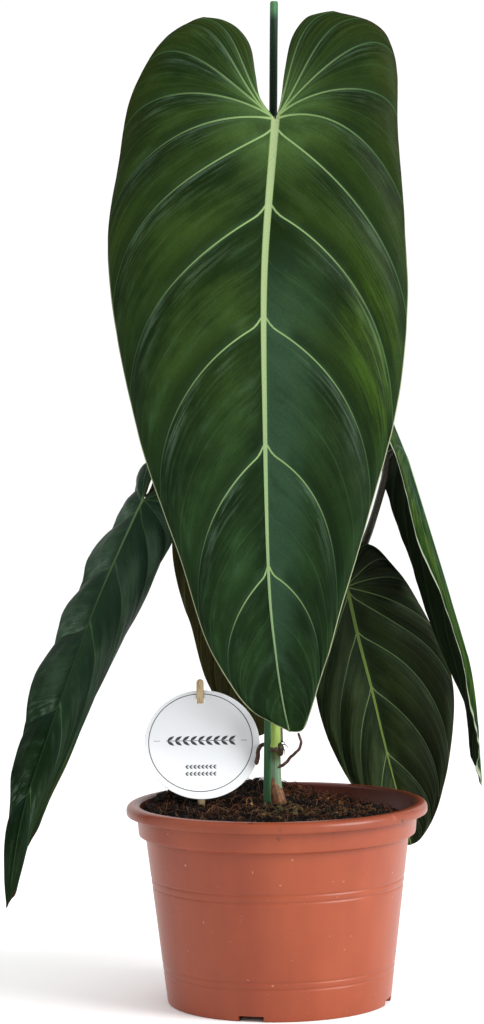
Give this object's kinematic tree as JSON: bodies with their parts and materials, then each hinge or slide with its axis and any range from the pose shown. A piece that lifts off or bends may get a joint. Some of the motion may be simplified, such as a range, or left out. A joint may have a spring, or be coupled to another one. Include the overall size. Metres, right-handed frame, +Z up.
{
  "type": "potted plant",
  "caption": "Young climbing philodendron with long velvety dark green leaves, beside a green stake in a terracotta-coloured plastic nursery pot, with a round tag on a stick.",
  "frame": {"origin": "middle of the flat pad under the pot, in the plane that the pot stands on", "axes": "+Z up along the pot's axis, -Y is the front, towards which the big leaf and the tag face, and +X is to the right as seen from the front"},
  "size_m": [0.3026, 0.19, 0.6286],
  "materials": {
    "pot_plastic": "matte, lightly scuffed",
    "potting_mix": "rough, crumbly",
    "stake_coating": "smooth",
    "stem": "waxy",
    "petiole": "waxy",
    "leaf": "velvety",
    "leaf_underside": "satin",
    "tag_card": "satin",
    "stick_wood": "bare wood"
  },
  "bodies": {
    "root": {"pot": "pot_plastic", "soil": "potting_mix", "stake": "stake_coating", "stem": "stem", "tag": "tag_card", "tag_stick": "stick_wood", "petiole_front": "petiole", "leaf_front": "leaf", "petiole_left": "petiole", "leaf_left": "leaf", "petiole_right": "petiole", "leaf_right": "leaf", "petiole_low_right": "petiole", "leaf_low_right": "leaf", "petiole_back": "petiole", "leaf_back": "leaf_underside"}
  },
  "joints": []
}
